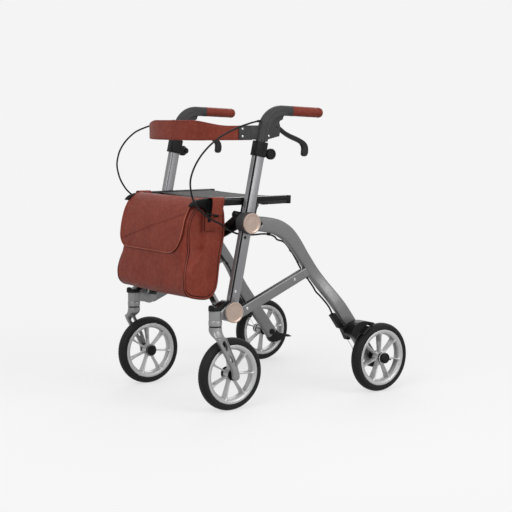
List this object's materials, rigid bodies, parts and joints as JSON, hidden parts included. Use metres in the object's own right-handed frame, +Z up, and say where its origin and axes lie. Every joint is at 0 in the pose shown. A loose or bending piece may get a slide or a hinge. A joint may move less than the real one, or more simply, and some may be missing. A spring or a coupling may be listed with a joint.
{
  "type": "four-wheel rollator",
  "caption": "Side-folding walking frame on wheels with swivel front casters, seat, hand brakes, height-adjustable handles, leather backrest strap and front saddle bag.",
  "frame": {"origin": "centre of the bounding box on the floor, with the rollator standing open", "axes": "+Z up, +X to the user's left, -Y the way it travels (bag and casters in front)"},
  "size_m": [0.632, 0.7196, 0.8262],
  "materials": {
    "tube_silver": "satin anodised",
    "tube_grey": "satin grey metallic",
    "cast_silver": "satin cast",
    "cap_rose": "satin rose metallic",
    "plastic_grey": "fine matte",
    "plastic_black": "matte",
    "bar_black": "satin black",
    "tyre_rubber": "matte",
    "rim_silver": "satin",
    "steel": "brushed",
    "leather": "semi-matte grain",
    "seat_cloth": "woven"
  },
  "bodies": {
    "frame_left": {"upright_left": "tube_silver", "rear_leg_left": "tube_grey", "lower_rail_left": "tube_grey", "upper_hub_left": "plastic_grey", "upper_cap_left": "cap_rose", "lower_hub_left": "cast_silver", "lower_cap_left": "cap_rose", "head_cover_left": "plastic_black", "rear_axle_left": "plastic_black", "kerb_pedal_left": "plastic_black", "brake_housing_left": "plastic_black", "collar_left": "plastic_black", "brake_cable_left": "plastic_black"},
    "caster_left": {"fork_left": "cast_silver", "front_axle_left": "steel"},
    "front_wheel_left": {"front_tyre_left": "tyre_rubber", "front_rim_left": "rim_silver"},
    "rear_wheel_left": {"rear_tyre_left": "tyre_rubber", "rear_rim_left": "rim_silver"},
    "handle_left": {"handle_post_left": "tube_silver", "handle_body_left": "plastic_grey", "grip_left": "leather", "backrest_strap": "leather"},
    "lever_left": {"brake_lever_left": "plastic_grey"},
    "shoe_left": {"brake_shoe_left": "steel"},
    "knob_left": {"height_knob_left": "plastic_black"},
    "link_left": {"fold_link_left": "bar_black"},
    "seat_left": {"seat_rail_left": "bar_black", "seat_fabric": "seat_cloth", "bag_body": "leather"},
    "frame_right": {"upright_right": "tube_silver", "rear_leg_right": "tube_grey", "lower_rail_right": "tube_grey", "upper_hub_right": "plastic_grey", "upper_cap_right": "cap_rose", "lower_hub_right": "cast_silver", "lower_cap_right": "cap_rose", "head_cover_right": "plastic_black", "rear_axle_right": "plastic_black", "kerb_pedal_right": "plastic_black", "brake_housing_right": "plastic_black", "collar_right": "plastic_black", "brake_cable_right": "plastic_black"},
    "caster_right": {"fork_right": "cast_silver", "front_axle_right": "steel"},
    "front_wheel_right": {"front_tyre_right": "tyre_rubber", "front_rim_right": "rim_silver"},
    "rear_wheel_right": {"rear_tyre_right": "tyre_rubber", "rear_rim_right": "rim_silver"},
    "handle_right": {"handle_post_right": "tube_silver", "handle_body_right": "plastic_grey", "grip_right": "leather"},
    "lever_right": {"brake_lever_right": "plastic_grey"},
    "shoe_right": {"brake_shoe_right": "steel"},
    "knob_right": {"height_knob_right": "plastic_black"},
    "link_right": {"fold_link_right": "bar_black"},
    "seat_right": {"seat_rail_right": "bar_black"},
    "bag_flap": {"bag_flap": "leather"},
    "bar_front": {"cross_bar_front": "bar_black"},
    "bar_rear": {"cross_bar_rear": "bar_black"}
  },
  "joints": [
    {"name": "fold", "type": "hinge", "parent": "frame_left", "child": "bar_front", "pos_m": [0.174, -0.23105, 0.283], "axis": [0, 0.9766, -0.2152], "range_deg": [0, 45.71], "deforming": ["seat_fabric", "bag_body", "bag_flap", "backrest_strap"]},
    {"name": "scissor", "type": "hinge", "parent": "bar_front", "child": "bar_rear", "pos_m": [0, -0.20474, 0.40238], "axis": [0, 0.9766, -0.2152], "range_deg": [-91.42, 0]},
    {"name": "right_frame_fold", "type": "hinge", "parent": "bar_rear", "child": "frame_right", "pos_m": [-0.174, -0.23105, 0.283], "axis": [0, 0.9766, -0.2152], "range_deg": [0, 45.71]},
    {"name": "seat_level_left", "type": "hinge", "parent": "bar_rear", "child": "seat_left", "pos_m": [0.186, -0.17661, 0.53], "axis": [0, 0.9766, -0.2152], "range_deg": [0, 45.71]},
    {"name": "seat_level_right", "type": "hinge", "parent": "bar_front", "child": "seat_right", "pos_m": [-0.186, -0.17661, 0.53], "axis": [0, 0.9766, -0.2152], "range_deg": [-45.71, 0]},
    {"name": "fold_link_left_turn", "type": "hinge", "parent": "frame_left", "child": "link_left", "pos_m": [0.184, -0.18146, 0.508], "axis": [0, 0.9766, -0.2152], "range_deg": [0, 99.88]},
    {"name": "fold_link_right_turn", "type": "hinge", "parent": "frame_right", "child": "link_right", "pos_m": [-0.184, -0.18146, 0.508], "axis": [0, 0.9766, -0.2152], "range_deg": [-99.88, 0]},
    {"name": "caster_turn_left", "type": "hinge", "parent": "frame_left", "child": "caster_left", "pos_m": [0.212, -0.27025, 0.235], "axis": [0, 0, 1], "continuous": true},
    {"name": "front_wheel_roll_left", "type": "hinge", "parent": "caster_left", "child": "front_wheel_left", "pos_m": [0.212, -0.22225, 0.1], "axis": [1, 0, 0], "continuous": true},
    {"name": "rear_wheel_roll_left", "type": "hinge", "parent": "frame_left", "child": "rear_wheel_left", "pos_m": [0.284, 0.25975, 0.1], "axis": [1, 0, 0], "continuous": true},
    {"name": "knob_turn_left", "type": "hinge", "parent": "frame_left", "child": "knob_left", "pos_m": [0.2113, -0.08975, 0.694], "axis": [1, 0, 0], "range_deg": [0, 360]},
    {"name": "handle_height_left", "type": "slide", "parent": "frame_left", "child": "handle_left", "axis": [0, 0.2152, 0.9766], "range_m": [0, 0.11], "deforming": ["brake_cable_left", "brake_cable_right"]},
    {"name": "lever_squeeze_left", "type": "hinge", "parent": "handle_left", "child": "lever_left", "pos_m": [0.211, -0.06925, 0.768], "axis": [1, 0, 0], "range_deg": [0, 18], "stiffness_Nm_per_rad": 3, "springref_deg": -5.73},
    {"name": "shoe_press_left", "type": "hinge", "parent": "frame_left", "child": "shoe_left", "pos_m": [0.27, 0.17275, 0.1865], "axis": [1, 0, 0], "range_deg": [-2.6, 0]},
    {"name": "caster_turn_right", "type": "hinge", "parent": "frame_right", "child": "caster_right", "pos_m": [-0.212, -0.27025, 0.235], "axis": [0, 0, 1], "continuous": true},
    {"name": "front_wheel_roll_right", "type": "hinge", "parent": "caster_right", "child": "front_wheel_right", "pos_m": [-0.212, -0.22225, 0.1], "axis": [1, 0, 0], "continuous": true},
    {"name": "rear_wheel_roll_right", "type": "hinge", "parent": "frame_right", "child": "rear_wheel_right", "pos_m": [-0.284, 0.25975, 0.1], "axis": [1, 0, 0], "continuous": true},
    {"name": "knob_turn_right", "type": "hinge", "parent": "frame_right", "child": "knob_right", "pos_m": [-0.2113, -0.08975, 0.694], "axis": [1, 0, 0], "range_deg": [0, 360]},
    {"name": "handle_height_right", "type": "slide", "parent": "frame_right", "child": "handle_right", "axis": [0, 0.2152, 0.9766], "range_m": [0, 0.11]},
    {"name": "lever_squeeze_right", "type": "hinge", "parent": "handle_right", "child": "lever_right", "pos_m": [-0.211, -0.06925, 0.768], "axis": [1, 0, 0], "range_deg": [0, 18], "stiffness_Nm_per_rad": 3, "springref_deg": -5.73},
    {"name": "shoe_press_right", "type": "hinge", "parent": "frame_right", "child": "shoe_right", "pos_m": [-0.27, 0.17275, 0.1865], "axis": [1, 0, 0], "range_deg": [-2.6, 0]},
    {"name": "flap_open", "type": "hinge", "parent": "seat_left", "child": "bag_flap", "pos_m": [0, -0.24325, 0.5685], "axis": [-1, 0, 0], "range_deg": [0, 110]}
  ],
  "couplings": [
    {"joint": "scissor", "follows": "fold", "ratio": -2},
    {"joint": "right_frame_fold", "follows": "fold", "ratio": 1},
    {"joint": "seat_level_left", "follows": "fold", "ratio": 1},
    {"joint": "seat_level_right", "follows": "fold", "ratio": -1},
    {"joint": "fold_link_left_turn", "follows": "fold", "ratio": 2.185},
    {"joint": "fold_link_right_turn", "follows": "fold", "ratio": -2.185},
    {"joint": "handle_height_right", "follows": "handle_height_left", "ratio": 1},
    {"joint": "shoe_press_left", "follows": "lever_squeeze_left", "ratio": -0.1444},
    {"joint": "shoe_press_right", "follows": "lever_squeeze_right", "ratio": -0.1444}
  ]
}
